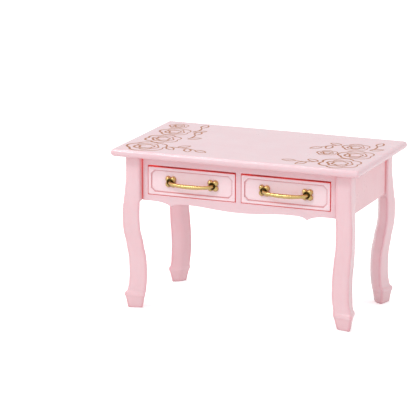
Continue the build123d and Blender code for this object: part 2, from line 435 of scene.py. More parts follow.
def plastic(name, main, cloud, flow, shading, gloss, thick_reach=0.3, painted_paling=0.3):
    """A pink plastic that flowed in one direction, with its own painted shade, gloss and painted
    paleness.
    """
    material, tree, shader, place = blank_material(name)
    surface = add(tree, "ShaderNodeGroup", node_tree=mould_tree)
    for label, value in (("Place", place), ("Flow", flow), ("Main colour", main),
                         ("Cloud colour", cloud), ("Speck colour", SPECK_AND_HOLLOW_SHADE_RED), ("Roughness", 0.3)):
        feed(surface.inputs[label], value)
    painted_light = painted_light_of(tree, 1.4, thick_reach)
    height = parts_of(place)["Z"]
    off_floor = remap(height, 6 * MM, 14 * MM, 0.0, 1.0)
    # painted shade: the foot below the lip is tinted a deeper pink
    foot_shade = remap(height, (FOOT_TOP + 0.1) * MM, (FOOT_TOP - 0.1) * MM, 0.0, 0.6)
    downwards = parts_of(add(tree, "ShaderNodeNewGeometry").outputs["Normal"])["Z"]
    # painted shade where the room closes in and where faces look down
    shade = calc("MAXIMUM", painted_light["Shade"], remap(downwards, 0.1, -0.8, 0.0, 0.8))
    shade = times(shade, shading, off_floor)
    # painted shade in hollows and gaps, and painted paleness where the plastic is thick
    hollow = times(painted_light["Hollow"], 0.6, off_floor)
    gap = times(painted_light["Deep"], off_floor)
    paler = times(painted_light["Thick"], painted_paling)
    colour = surface.outputs["Colour"]
    for share, tint in ((foot_shade, FOOT_SHADE_COLOUR), (shade, SHADE_COLOUR), (hollow, SPECK_AND_HOLLOW_SHADE_RED),
                        (gap, GAP_SHADE_COLOUR), (paler, PAINTED_PALE_ROSE)):
        colour = mix_colour(share, colour, tint)
    feed(shader.inputs["Base Color"], colour)
    # painted glow: a faint red emission where the room is shut in
    glow = times(painted_light["Shut in"], off_floor)
    feed(shader.inputs["Emission Color"], mix_colour(glow, BLACK, PAINTED_GLOW))
    feed(shader.inputs["Roughness"], surface.outputs["Roughness"])
    add_relief(shader, surface.outputs["Height"], 0.25, 0.03)
    for label, value in (("Emission Strength", 1.0), ("Subsurface Weight", 0.12),
                         ("Subsurface Radius", (1.0, 0.4, 0.4)), ("Subsurface Scale", 0.8 * MM),
                         ("Specular IOR Level", 0.3), ("Coat Weight", gloss), ("Coat Roughness", 0.1)):
        shader.inputs[label].default_value = value
    return material


UPRIGHT, LEVEL = (1.0, 1.0, 0.12), (0.12, 1.0, 1.0)
# The mixes are lit and shaded copies of one pink: the upright boards and the legs are painted deeper,
# the drawers lighter to offset their shade.
upright_shaded_pink = plastic("pink plastic, upright flow, painted deeper", (0.85, 0.505, 0.54, 1.0),
                       (0.83, 0.43, 0.475, 1.0), UPRIGHT, shading=0.55, gloss=0.2)
leg_shaded_pink = plastic("pink plastic, legs, painted deeper", (0.79, 0.43, 0.485, 1.0), (0.77, 0.35, 0.41, 1.0),
                   UPRIGHT, shading=0.65, gloss=0.5, thick_reach=1.0, painted_paling=0.5)
level_pink = plastic("pink plastic, level flow", (0.80, 0.545, 0.59, 1.0), (0.78, 0.48, 0.535, 1.0),
                     LEVEL, shading=0.5, gloss=0.5)
drawer_lightened_pink = plastic("pink plastic, drawers, painted lighter", (0.93, 0.71, 0.75, 1.0), (0.91, 0.65, 0.70, 1.0),
                      LEVEL, shading=0.15, gloss=0.2)
print("pink plastic:", len(leg_shaded_pink.node_tree.nodes), "nodes and two groups, in four mixes")

# %% [markdown]
# ## Brass and ink
#
# The handles look cast and plated, and never quite smooth. Their light and shade are painted into the
# colour as well: a painted highlight on the crowns, painted shade brown below, and painted shade nearly
# black in the hollows and inside the cups. The ink of the ornament is thin, so it is paler where the pad
# pressed lightly.

# %% Material: aged brass with painted light
# The metal's own light and brown patches, then painted shade below, in the hollows and in the cups, and
# a painted highlight on the crowns.
BRASS_LIGHT, BRASS_BROWN = (0.66, 0.43, 0.115, 1.0), (0.40, 0.24, 0.055, 1.0)
BRASS_UNDER_SHADE, BRASS_HOLLOW_SHADE = (0.17, 0.10, 0.015, 1.0), (0.06, 0.03, 0.008, 1.0)
BRASS_CUP_SHADE, BRASS_HIGHLIGHT = (0.006, 0.003, 0.001, 1.0), (0.96, 0.74, 0.34, 1.0)

brass, tree, shader, place = blank_material("aged brass with painted light")
painted_light = painted_light_of(tree, 1.5, 0.25)
patches = remap(noise(place, 1.1, 3.0), 0.35, 0.7, 0.0, 1.0)
colour = mix_colour(patches, BRASS_LIGHT, BRASS_BROWN)
upwards = parts_of(add(tree, "ShaderNodeNewGeometry").outputs["Normal"])["Z"]
# painted shade below and in the hollows and cups, and a painted highlight where the metal is thick
under_shade = remap(upwards, 0.55, -0.35, 0.0, 0.9)
hollow_shade = remap(painted_light["Hollow"], 0.25, 0.9, 0.0, 1.0)
painted_highlight = times(painted_light["Thick"], 0.5)
for share, tint in ((under_shade, BRASS_UNDER_SHADE), (hollow_shade, BRASS_HOLLOW_SHADE), (painted_light["Deep"], BRASS_CUP_SHADE),
                    (painted_highlight, BRASS_HIGHLIGHT)):
    colour = mix_colour(share, colour, tint)
feed(shader.inputs["Base Color"], colour)
feed(shader.inputs["Roughness"], remap(noise(place, 0.5, 2.0), 0.3, 0.7, 0.24, 0.4))
shader.inputs["Metallic"].default_value = 1.0
dents = noise(place, 0.6, 2.0)
dents = times_plus(noise(place, 0.12, 1.0), 0.08, dents)
add_relief(shader, dents, 0.5, 0.05)
print("aged brass with painted light:", len(tree.nodes), "nodes")

# %% Material: printed ink
INK_FULL, INK_THIN = (0.40, 0.14, 0.045, 1.0), (0.60, 0.28, 0.14, 1.0)

ink, tree, shader, place = blank_material("gold-brown ink")
thin = remap(noise(place, 0.8, 3.0), 0.45, 0.8, 0.0, 0.55)
feed(shader.inputs["Base Color"], mix_colour(thin, INK_FULL, INK_THIN))
feed(shader.inputs["Roughness"], remap(noise(place, 0.3, 2.0), 0.3, 0.7, 0.3, 0.5))
add_relief(shader, noise(place, 0.15, 2.0), 0.3, 0.01)
shader.inputs["Specular IOR Level"].default_value = 0.15
print("gold-brown ink:", len(tree.nodes), "nodes")

# %% [markdown]
# ## Boards with soft edges
#
# A mould can't make a knife edge, and the small radius on each edge is what catches the light.
# The frame, panels and drawers already have the right shape in the solid model, so we copy each
# mesh, join its loose triangles into whole faces, and bevel every edge a little. Weighted normals
# keep the broad faces flat while the bevels turn the light. Where the frame and the side panels
# meet a post, the outer edge leans back, so the joint shows as a fine groove.

# %% Tools: the groove beside each post
SEAM = 0.34
SAME_PLACE = 0.01 * MM


def open_seams(bm, along, across, outwards):
    """Leans the ends of a board's outer face back, so that a fine groove shows beside each post."""
    places = [vert.co[along] for vert in bm.verts]
    faces = [vert.co[across] * outwards for vert in bm.verts]
    for vert in bm.verts:
        if vert.co[across] * outwards < max(faces) - SAME_PLACE:
            continue
        if vert.co[along] < min(places) + SAME_PLACE:
            vert.co[along] += SEAM * MM
        elif vert.co[along] > max(places) - SAME_PLACE:
            vert.co[along] -= SEAM * MM


# the axis each board runs along, the axis it faces along, and to which side
SEAMS = {"case_front": (0, 1, -1), "case_left_side": (1, 0, -1), "case_right_side": (1, 0, 1)}
print("a groove of", SEAM, "mm beside each post")

# %% Soften the boards
def soft_board(name, node, width, material):
    """A copy of one solid piece with its edges rounded by `width` millimetres."""
    mesh = bpy.data.meshes.new(name)
    bm = bmesh.new()
    bm.from_mesh(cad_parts[node].data)
    bmesh.ops.remove_doubles(bm, verts=bm.verts, dist=0.002 * MM)
    bmesh.ops.dissolve_limit(bm, angle_limit=math.radians(1), verts=bm.verts, edges=bm.edges)
    if name in SEAMS:
        open_seams(bm, *SEAMS[name])
    bm.to_mesh(mesh)
    bm.free()
    if "custom_normal" in mesh.attributes:
        mesh.attributes.remove(mesh.attributes["custom_normal"])
    mesh.materials.clear()
    mesh.materials.append(material)
    mesh.shade_smooth()
    piece = show(name, mesh)
    bevel = piece.modifiers.new("soft edges", "BEVEL")
    bevel.width = width * MM
    bevel.segments = 3
    bevel.angle_limit = math.radians(30)
    bevel.use_clamp_overlap = False
    piece.modifiers.new("level faces", "WEIGHTED_NORMAL")
    keep_result(piece)
    return piece


boards = {
    "case_front": ("front_frame", 0.16, level_pink),
    "case_back": ("back_panel", 0.12, level_pink),
    "case_bottom": ("case_floor", 0.1, level_pink),
    "case_divider": ("centre_divider", 0.1, level_pink),
    "case_left_side": ("left_side_panel", 0.12, upright_shaded_pink),
    "case_right_side": ("right_side_panel", 0.12, upright_shaded_pink),
    "case_left_guide": ("left_drawer_guide", 0.1, level_pink),
    "case_right_guide": ("right_drawer_guide", 0.1, level_pink),
}
for name, (node, width, material) in boards.items():
    settle(soft_board(name, node, width, material), "table", "table_plastic", node)

# %% Soften the trays
for side in ("left", "right"):
    node = f"{side}_drawer_tray"
    piece = soft_board(f"{side}_drawer_box", node, 0.12, drawer_lightened_pink)
    settle(piece, f"{side}_drawer", "drawer_plastic", node)

# %% [markdown]
# ## Boards drawn ring by ring
#
# The top and the drawer fronts need edges that a bevel can't give: a round nose that turns the
# corners, and a sunk field with canted corners and a crisp step. Both are drawn as rings, one
# inside or above the other, and skinned. Each ring has the same number of points, so a round
# corner can run straight into a canted one. The visible fronts are a little wider than the solid
# ones, because the seam that shows is finer than the gap that the drawer needs to slide.

# %% Tools: rings and their skin
CORNER_STEPS = 6


def ring_points(half_width, half_height, corner, canted=False):
    """A rectangle with round or canted corners, anticlockwise, as flat points in millimetres."""
    ring = []
    for quarter, (right, up) in enumerate(((1, 1), (-1, 1), (-1, -1), (1, -1))):
        for step in range(CORNER_STEPS + 1):
            share = step / CORNER_STEPS
            angle = math.radians(90) * (quarter + share)
            x, y = math.cos(angle), math.sin(angle)
            if canted:
                start, end = math.radians(90) * quarter, math.radians(90) * (quarter + 1)
                x = math.cos(start) + share * (math.cos(end) - math.cos(start))
                y = math.sin(start) + share * (math.sin(end) - math.sin(start))
            ring.append((right * (half_width - corner) + corner * x,
                         up * (half_height - corner) + corner * y))
    return ring


def skinned(name, rings, material):
    """A closed board through rings of points, flat at both ends, with level broad faces."""
    bm = bmesh.new()
    loops = [[bm.verts.new(Vector(point) * MM) for point in ring] for ring in rings]
    for lower, upper in zip(loops, loops[1:]):
        for place in range(len(lower)):
            after = (place + 1) % len(lower)
            bm.faces.new((lower[place], lower[after], upper[after], upper[place]))
    bm.faces.new(loops[-1])
    bm.faces.new(reversed(loops[0]))
    bmesh.ops.recalc_face_normals(bm, faces=bm.faces)
    mesh = bpy.data.meshes.new(name)
    bm.to_mesh(mesh)
    bm.free()
    mesh.materials.append(material)
    mesh.shade_smooth()
    mesh.set_sharp_from_angle(angle=math.radians(46))
    piece = show(name, mesh)
    level = piece.modifiers.new("level faces", "WEIGHTED_NORMAL")
    level.keep_sharp = True
    keep_result(piece)
    return piece


print("each ring has", len(ring_points(1, 1, 0.1)), "points")

# %% Drawer fronts with a sunk field
FRONT_ROUND, FRONT_CORNER = 0.16, 0.3
ROUND_STEPS = 4
FIELD_SIDE, FIELD_TOP, FIELD_CANT = 0.85, 0.8, 1.15
GROOVE = 0.2
GROW_LEFT, GROW_RIGHT, GROW_DOWN = 0.24, 0.08, 0.12


def drawer_face(side, sign):
    """One drawer front: a round outer edge, a flat border, a groove and the sunk field."""
    low_x, high_x = sorted((sign * front_low.x, sign * front_high.x))
    low_x, high_x = low_x - GROW_LEFT, high_x + GROW_RIGHT
    low_z, high_z = front_low.z - GROW_DOWN, front_high.z
    middle_x, half_x = (low_x + high_x) / 2, (high_x - low_x) / 2
    middle_z, half_z = (low_z + high_z) / 2, (high_z - low_z) / 2
    levels = [(front_high.y, 0.3), (front_high.y - 0.1, 0.15)]
    for step in range(ROUND_STEPS + 1):
        angle = math.radians(90 * step / ROUND_STEPS)
        levels.append((front_low.y + FRONT_ROUND * (1 - math.sin(angle)),
                       FRONT_ROUND * (1 - math.cos(angle))))
    rings = []
    for y, inset in levels:
        outline = ring_points(half_x - inset, half_z - inset, FRONT_CORNER)
        rings.append([(middle_x + x, y, middle_z + z) for x, z in outline])
    for y, inset in ((front_low.y, 0.0), (front_low.y + 0.03, 0.03), (FIELD_Y + GROOVE, 0.1),
                     (FIELD_Y + GROOVE, 0.22), (FIELD_Y, 0.4)):
        field = ring_points(half_x - FIELD_SIDE - inset, half_z - FIELD_TOP - inset, FIELD_CANT,
                            canted=True)
        rings.append([(middle_x + x, y, middle_z + z) for x, z in field])
    return skinned(f"{side}_drawer_face", rings, drawer_lightened_pink)


for side, sign in (("left", 1), ("right", -1)):
    settle(drawer_face(side, sign), f"{side}_drawer", "drawer_plastic", f"{side}_drawer_front")

# %% [markdown]
# ## The top
#
# The top is a thin board whose edge is one round nose. It could be bevelled like the case, but
# then the corners would be sharp mitres. Rings stacked up a half circle turn the nose round each
# corner as the moulding does. The face lies a hair below the solid's, because the printed ink
# stands on it.

# %% The nosed top
INK_HEIGHT = 0.016
NOSE_STEPS = 14
nose = (top_high.z - INK_HEIGHT - top_low.z) / 2
rings = []
for step in range(NOSE_STEPS + 1):
    angle = math.radians(-90 + 180 * step / NOSE_STEPS)
    inwards = nose * (1 - math.cos(angle))
    z = top_low.z + nose * (1 + math.sin(angle))
    corner = max(0.75 - 0.5 * inwards, 0.2)
    rings.append([(x, y, z) for x, y in ring_points(top_high.x - inwards, top_high.y - inwards, corner)])
settle(skinned("table_top", rings, level_pink), "table", "table_plastic", "tabletop")

# %% [markdown]
# ## Cabriole legs
#
# Each leg is square at the post, swells at the knee, thins to the ankle and flares over a small
# foot with a lip. Across the leg it is a kite: a rounded ridge at the outer corner, two broad
# faces, and a narrower back. The shape follows a rule, so a tree makes it. A rounded unit square is
# swept up a line, and each row of it is then pulled onto the kite that belongs to its height. The
# profiles below give that kite, level by level, as a carver's template would. The last column sets
# the foot back towards the middle of the table.

# %% The leg's levels, in millimetres above the floor
LEG_LEVELS = (
    # height, ridge, far flank, near flank, depth, set back
    (0.0, 0.04, 4.75, 1.20, 3.40, 0.80),
    (2.2, 0.36, 5.25, 0.86, 3.75, 0.85),
    (3.7, 0.68, 5.60, 0.60, 4.02, 0.90),
    (3.9, 0.86, 5.78, 0.42, 4.16, 0.90),
    (4.2, 0.88, 5.82, 0.42, 4.18, 0.90),
    (5.3, 0.32, 5.94, 0.88, 4.20, 0.84),
    (7.0, -0.16, 6.12, 1.22, 4.32, 0.60),
    (9.2, -0.42, 6.34, 1.32, 4.50, 0.40),
    (11.2, -0.50, 6.40, 1.35, 4.60, 0.30),
    (20.6, 0.16, 5.64, 0.56, 3.94, 0.25),
    (30.0, 0.93, 4.72, -0.07, 3.07, 0.0),
    (33.9, 0.62, 4.80, 0.00, 3.07, 0.0),
    (34.4, 0.60, 4.80, 0.00, 4.80, 0.0),
    (38.4, 0.24, 4.80, 0.00, 4.80, 0.0),
    (42.8, 0.00, 4.80, 0.00, 4.80, 0.0),
    (48.2, 0.00, 4.80, 0.00, 4.80, 0.0),
)
SHARP_HEIGHTS = (3.7, 3.9, 33.9, 34.4)


def leg_profile(along, column):
    """One column of the levels as a smooth line up the leg, in metres."""
    levels = [(row[0] / UNDER_TOP, row[column] * MM) for row in LEG_LEVELS]
    sharp = [height / UNDER_TOP for height in SHARP_HEIGHTS]
    return profile(along, levels, sharp)


print("leg levels:", len(LEG_LEVELS), "from the sole to the top")

# %% Tree: one leg
leg_tree, leg, leg_out = new_tree(
    "cabriole leg", "GeometryNodeTree",
    [("Post corner", VECTOR, None), ("Side X", FLOAT, 1.0), ("Side Y", FLOAT, 1.0),
     ("Height", FLOAT, 48.2 * MM), ("Row gap", FLOAT, 0.14 * MM), ("Sole radius", FLOAT, 0.3 * MM),
     ("Ridge rounding", FLOAT, 0.13), ("Flank rounding", FLOAT, 0.11), ("Back rounding", FLOAT, 0.2),
     ("Material", FINISH, None)],
    [("Geometry", SHAPE)],
)
square = add(leg_tree, "GeometryNodeCurvePrimitiveQuadrilateral", {"Width": 1.0, "Height": 1.0})
corner_place = parts_of(here(leg_tree))
diagonal = plus(corner_place["X"], corner_place["Y"])
at_ridge = calc("LESS_THAN", diagonal, -0.5)
at_back = calc("GREATER_THAN", diagonal, 0.5)
at_flank = minus(minus(1.0, at_ridge), at_back)
rounding = times(at_ridge, leg["Ridge rounding"])
rounding = times_plus(at_flank, leg["Flank rounding"], rounding)
rounding = times_plus(at_back, leg["Back rounding"], rounding)
soft_square = add(leg_tree, "GeometryNodeFilletCurve",
                  {"Curve": square, "Count": 6, "Radius": rounding}, mode="POLY")
marked = add(leg_tree, "GeometryNodeStoreNamedAttribute",
             {"Geometry": soft_square, "Name": "section"}, data_type="FLOAT_VECTOR")
feed(marked.inputs["Value"], here(leg_tree))
upright = add(leg_tree, "GeometryNodeCurvePrimitiveLine", {"End": vector(0.0, 0.0, leg["Height"])})
rows = add(leg_tree, "GeometryNodeResampleCurve",
           {"Curve": upright, "Length": leg["Row gap"]}, mode="LENGTH")
column = add(leg_tree, "GeometryNodeCurveToMesh",
             {"Curve": rows, "Profile Curve": marked, "Fill Caps": True})

# %% Tree: pull each row onto its kite
section = add(leg_tree, "GeometryNodeInputNamedAttribute", {"Name": "section"},
              data_type="FLOAT_VECTOR").outputs[0]
across, along = parts_of(section)[:2]
height = parts_of(here(leg_tree))["Z"]
up_leg = calc("DIVIDE", height, leg["Height"])
near_floor = calc("DIVIDE", height, leg["Sole radius"])
near_floor = calc("MAXIMUM", minus(1.0, near_floor), 0.0)
turned = minus(1.0, calc("POWER", near_floor, 2.0))
turned = calc("SQRT", turned)
sole_scale = times_plus(turned, 0.12, 0.88)
s = times_plus(across, sole_scale, 0.5)
t = times_plus(along, sole_scale, 0.5)
not_s = minus(1.0, s)
not_t = minus(1.0, t)
ridge, far_flank, near_flank, depth, set_back = [
    leg_profile(up_leg, place) for place in (1, 2, 3, 4, 5)]


def on_kite(first, second, not_first, not_second):
    """Where a point of the unit square falls on the kite, along one of its two directions."""
    out = times(not_first, not_second, times(ridge, -1.0))
    out = times_plus(times(first, not_second), far_flank, out)
    out = times_plus(times(not_first, second), near_flank, out)
    return times_plus(times(first, second), depth, out)


post = parts_of(leg["Post corner"])
kite_x = minus(post["X"], on_kite(s, t, not_s, not_t))
kite_y = minus(post["Y"], on_kite(t, s, not_t, not_s))
kite_y = minus(kite_y, set_back)
kite_x = times(kite_x, leg["Side X"])
kite_y = times(kite_y, leg["Side Y"])
placed = moved(column, vector(kite_x, kite_y, height))
send_out(placed, leg["Material"], leg_out)
print("cabriole leg:", len(leg_tree.nodes), "nodes")

# %% Four legs from one tree
for depth_name, side_y in (("front", -1.0), ("back", 1.0)):
    for side_name, side_x in (("left", -1.0), ("right", 1.0)):
        values = {"Post corner": (POST_X * MM, POST_Y * MM, 0.0), "Side X": side_x, "Side Y": side_y,
                  "Height": UNDER_TOP * MM, "Material": leg_shaded_pink}
        piece = grow(f"{depth_name}_{side_name}_cabriole", leg_tree, values, sharp_angle=50)
        settle(piece, "table", "table_plastic", f"{depth_name}_{side_name}_leg")

# %% [markdown]
# ## Bow handles
#
# Each drawer has a cast bow: a rod that comes straight out of the front, turns, and crosses in a
# shallow arc that sags a little. A bent cylinder looks machined, so the path is a flattened oval
# that turns its corners softly, the rod is thicker in the middle, and a little noise makes it
# look poured. One tree does this, and the noise has a seed for each drawer.

# %% Tree: bow handle
bow_tree, bow, bow_out = new_tree(
    "bow handle", "GeometryNodeTree",
    [("Centre", VECTOR, None), ("Half span", FLOAT, 6.9 * MM), ("Reach", FLOAT, 1.85 * MM),
     ("Bow", FLOAT, 0.5 * MM), ("Sag", FLOAT, 0.6 * MM), ("Squareness", FLOAT, 0.42),
     ("Rod radius", FLOAT, 0.6 * MM), ("Unevenness", FLOAT, 0.12), ("Seed", FLOAT, 0.0),
     ("Material", FINISH, None)],
    [("Geometry", SHAPE)],
)
line = add(bow_tree, "GeometryNodeCurvePrimitiveLine", {"End": (1.0, 0.0, 0.0)})
fine = add(bow_tree, "GeometryNodeResampleCurve", {"Curve": line, "Count": 500})
turn = times(along_line(bow_tree), math.pi)
cosine = calc("COSINE", turn)
sideways = calc("POWER", calc("ABSOLUTE", cosine), bow["Squareness"])
sideways = times(sideways, calc("SIGN", cosine))
forwards = calc("POWER", calc("ABSOLUTE", calc("SINE", turn)), bow["Squareness"])
arc = minus(1.0, calc("POWER", sideways, 2.0))
out = times_plus(arc, bow["Bow"], times(forwards, bow["Reach"]))
sag = times(times_plus(arc, 0.5, 0.5), times(forwards, bow["Sag"]))
offset = vector(times(sideways, bow["Half span"]), times(out, -1.0), times(sag, -1.0))
path = moved(fine, add(bow_tree, "ShaderNodeVectorMath", {0: bow["Centre"], 1: offset}))
even = add(bow_tree, "GeometryNodeResampleCurve", {"Curve": path, "Length": 0.12 * MM}, mode="LENGTH")
thickness = profile(along_line(bow_tree),
                    [(0.0, 0.82), (0.12, 0.9), (0.25, 0.98), (0.5, 1.12), (0.75, 0.98), (0.88, 0.9),
                     (1.0, 0.82)])
round_bar = add(bow_tree, "GeometryNodeCurvePrimitiveCircle",
                {"Resolution": 20, "Radius": bow["Rod radius"]})
bar = add(bow_tree, "GeometryNodeCurveToMesh", {
    "Curve": even, "Profile Curve": round_bar, "Scale": thickness,
    "Fill Caps": True})
dents = add(bow_tree, "ShaderNodeTexNoise",
            {"W": bow["Seed"], "Scale": 1 / (1.6 * MM), "Detail": 1.0}, noise_dimensions="4D")
push = times(minus(dents.outputs["Fac"], 0.5), bow["Unevenness"], MM)
uneven = scaled_by(add(bow_tree, "GeometryNodeInputNormal").outputs[0], push)
cast = add(bow_tree, "GeometryNodeSetPosition", {"Geometry": bar, "Offset": uneven})
send_out(cast, bow["Material"], bow_out)
print("bow handle:", len(bow_tree.nodes), "nodes")

# %% [markdown]
# ## Rosettes
#
# Where the bow meets the drawer it stands in a little cup with four round lobes. Four balls and a
# drill would make it, but the seams between the balls would look cut. Instead a disc is raised by
# a formula: every quarter turn repeats one lobe, a smooth maximum melts lobes and boss together,
# and the middle is sunk for the rod.

# %% Tree: rosette outline
cup_tree, cup, cup_out = new_tree(
    "rosette", "GeometryNodeTree",
    [("Centre", VECTOR, None), ("Lobe radius", FLOAT, 0.92 * MM), ("Lobe distance", FLOAT, 1.174 * MM),
     ("Lobe height", FLOAT, 0.95 * MM), ("Boss radius", FLOAT, 1.5 * MM),
     ("Boss height", FLOAT, 0.78 * MM), ("Cup radius", FLOAT, 1.08 * MM),
     ("Cup floor", FLOAT, 0.12 * MM), ("Material", FINISH, None)],
    [("Geometry", SHAPE)],
)
ROUND = 96
RINGS = 24
disc = add(cup_tree, "GeometryNodeMeshGrid", {
    "Size X": 1.0, "Size Y": 2.0, "Vertices X": ROUND + 1, "Vertices Y": 2 * RINGS + 1})
unrolled = parts_of(here(cup_tree))
angle = times(plus(unrolled["X"], 0.5), 2 * math.pi)
ring = plus(unrolled["Y"], 1.0)
from_lobe = minus(calc("MODULO", angle, math.pi / 2), math.pi / 4)
lobe_cos = calc("COSINE", from_lobe)
lobe_sin = calc("SINE", from_lobe)
reach = times(cup["Lobe distance"], lobe_cos)
half_width = times(cup["Lobe distance"], lobe_sin)
half_width = calc("POWER", half_width, 2.0)
round_square = calc("POWER", cup["Lobe radius"], 2.0)
rim = plus(reach, calc("SQRT", minus(round_square, half_width)))
front_ring = calc("MINIMUM", ring, 1.0)
back_ring = calc("MAXIMUM", minus(ring, 1.0), 0.0)
spread = calc("SINE", times(front_ring, math.pi / 2))
spread = minus(spread, back_ring)
radius = times(rim, spread)

# %% Tree: rosette height
product = times(radius, 2.0, reach)
away = plus(calc("POWER", radius, 2.0), calc("POWER", cup["Lobe distance"], 2.0))
away = calc("DIVIDE", minus(away, product), round_square)
ball = calc("MAXIMUM", minus(1.0, away), 0.0)
ball = calc("SQRT", ball)
ball = times(ball, cup["Lobe height"])
boss = remap(radius, cup["Boss radius"],
             times(cup["Boss radius"], 0.8), 0.0, cup["Boss height"], "SMOOTHSTEP")
raised = calc("SMOOTH_MAX", ball, boss, 0.3 * MM)
in_cup = remap(radius, cup["Cup radius"], times(cup["Cup radius"], 0.78), 0.0, 1.0, "SMOOTHSTEP")
sunk = times(in_cup, minus(cup["Cup floor"], raised))
raised = plus(raised, sunk)
is_front = calc("LESS_THAN", ring, 1.0)
depth = times(raised, is_front)
depth = plus(depth, times(minus(is_front, 1.0), 0.05 * MM))
lift = vector(times(radius, calc("COSINE", angle)), times(depth, -1.0),
              times(radius, calc("SINE", angle)))
raised_disc = moved(disc, add(cup_tree, "ShaderNodeVectorMath", {0: cup["Centre"], 1: lift}))
send_out(raised_disc, cup["Material"], cup_out)
print("rosette:", len(cup_tree.nodes), "nodes")

# %% Brass for both drawers
half_span = (PIN_XS[1] - PIN_XS[0]) / 2
for side, sign, seed in (("left", 1, 1.3), ("right", -1, 4.1)):
    body = f"{side}_drawer"
    middle = sign * (PIN_XS[0] + PIN_XS[1]) / 2
    centre = (middle * MM, FIELD_Y * MM, HANDLE_Z * MM)
    piece = grow(f"{side}_bow", bow_tree, {"Centre": centre, "Half span": half_span * MM,
                                           "Seed": seed, "Material": brass})
    settle(piece, body, "handle_brass", f"{side}_drawer_bow_handle")
    for place, pin_x in zip(("outer", "inner"), PIN_XS):
        centre = (sign * pin_x * MM, FIELD_Y * MM, HANDLE_Z * MM)
        piece = grow(f"{side}_{place}_cup", cup_tree, {"Centre": centre, "Material": brass}, 60)
        settle(piece, body, "handle_brass", f"{side}_drawer_{place}_rosette")

# %% [markdown]
# ## The printed ornament
#
# Two corners of the top carry a gold-brown line print of roses and leafy sprays. A picture would
# blur up close, so the lines are real ribbons of ink, a few hundredths of a millimetre thick. Two
# trees draw them: one turns scalloped rings inside each other into a rose, the other sets leaves
# along a stem. Both end by sweeping a round nib along the line and pressing it flat.

# %% Tools: a pen line pressed flat
PRINT_SOCKETS = [("Line width", FLOAT, 0.66 * MM), ("Lift", FLOAT, 0.0), ("Ink height", FLOAT, 0.0),
                 ("Material", FINISH, None)]


def press_ink(inputs, output, lines):
    """Sweeps the nib along every line, thin at its ends, and presses the ink flat on the top."""
    tree = lines.id_data
    nib = add(tree, "GeometryNodeCurvePrimitiveCircle", {
        "Resolution": 8, "Radius": times(inputs["Line width"], 0.5)})
    weight = profile(along_line(tree),
                     [(0.0, 0.55), (0.2, 0.9), (0.5, 1.05), (0.8, 0.9), (1.0, 0.55)])
    real = add(tree, "GeometryNodeRealizeInstances", {"Geometry": lines})
    ribbon = add(tree, "GeometryNodeCurveToMesh", {
        "Curve": real, "Profile Curve": nib, "Scale": weight,
        "Fill Caps": True})
    x, y, z = parts_of(here(tree))
    flat = calc("DIVIDE", z, times(inputs["Line width"], 0.55))
    low = times_plus(flat, inputs["Ink height"], inputs["Lift"])
    send_out(moved(ribbon, vector(x, y, low)), inputs["Material"], output)


print("the pen is ready")

# %% Tree: a rose from scalloped rings
bloom_tree, bloom, bloom_out = new_tree(
    "printed rose", "GeometryNodeTree",
    [("Centre", VECTOR, None), ("Radius", FLOAT, 5 * MM), ("Petals", FLOAT, 5.0),
     ("Scallop", FLOAT, 0.16), ("Rings", WHOLE, 3), ("Shrink", FLOAT, 0.62), ("Turn", FLOAT, 0.5)]
    + PRINT_SOCKETS, [("Geometry", SHAPE)],
)
circle = add(bloom_tree, "GeometryNodeCurvePrimitiveCircle", {"Resolution": 120, "Radius": 1.0})
around = times(along_line(bloom_tree), math.pi)
wave = calc("ABSOLUTE", calc("SINE", times(around, bloom["Petals"])))
wave = times(minus(wave, 1.0), bloom["Scallop"])
size = plus(1.0, wave)
petals = moved(circle, scaled_by(here(bloom_tree), size))
spots = add(bloom_tree, "GeometryNodePoints",
            {"Count": bloom["Rings"], "Position": bloom["Centre"]})
ring_number = add(bloom_tree, "GeometryNodeInputIndex").outputs[0]
ring_size = times(calc("POWER", bloom["Shrink"], ring_number), bloom["Radius"])
ring_turn = vector(0.0, 0.0, times(ring_number, bloom["Turn"]))
blooms = add(bloom_tree, "GeometryNodeInstanceOnPoints", {
    "Points": spots, "Instance": petals,
    "Rotation": add(bloom_tree, "FunctionNodeEulerToRotation", {0: ring_turn}),
    "Scale": vector(ring_size, ring_size, ring_size)})
press_ink(bloom, bloom_out, blooms)
print("printed rose:", len(bloom_tree.nodes), "nodes")

# %% Tree: a leafy spray along a stem
spray_tree, spray, spray_out = new_tree(
    "printed spray", "GeometryNodeTree",
    [("Start", VECTOR, None), ("Bend", VECTOR, None), ("End", VECTOR, None), ("Leaves", WHOLE, 6),
     ("Leaf length", FLOAT, 4.6 * MM), ("Leaf width", FLOAT, 2.1 * MM), ("Leaf angle", FLOAT, 0.9)]
    + PRINT_SOCKETS, [("Geometry", SHAPE)],
)
stem = add(spray_tree, "GeometryNodeCurveQuadraticBezier", {
    "Resolution": 40, "Start": spray["Start"], "Middle": spray["Bend"], "End": spray["End"]})
leaf_sides = add(spray_tree, "GeometryNodeJoinGeometry")
tip = vector(spray["Leaf length"], 0.0, 0.0)
for share in (1.0, -1.0):
    bulge = vector(times(spray["Leaf length"], 0.45), times(spray["Leaf width"], share), 0.0)
    edge = add(spray_tree, "GeometryNodeCurveQuadraticBezier",
               {"Resolution": 14, "Start": (0.0, 0.0, 0.0), "Middle": bulge, "End": tip})
    feed(leaf_sides.inputs[0], edge)
joints = add(spray_tree, "GeometryNodeResampleCurve", {"Curve": stem, "Count": spray["Leaves"]})
tangent = parts_of(add(spray_tree, "GeometryNodeInputTangent").outputs[0])
heading = calc("ARCTAN2", tangent["Y"], tangent["X"])
joint_number = add(spray_tree, "GeometryNodeInputIndex").outputs[0]
side = times_plus(calc("MODULO", joint_number, 2.0), 2.0, -1.0)
last = add(spray_tree, "GeometryNodeCurveEndpointSelection", {"Start Size": 0, "End Size": 1})
not_last = minus(1.0, last)
lean = times(side, not_last, spray["Leaf angle"])
leaf_turn = vector(0.0, 0.0, plus(heading, lean))
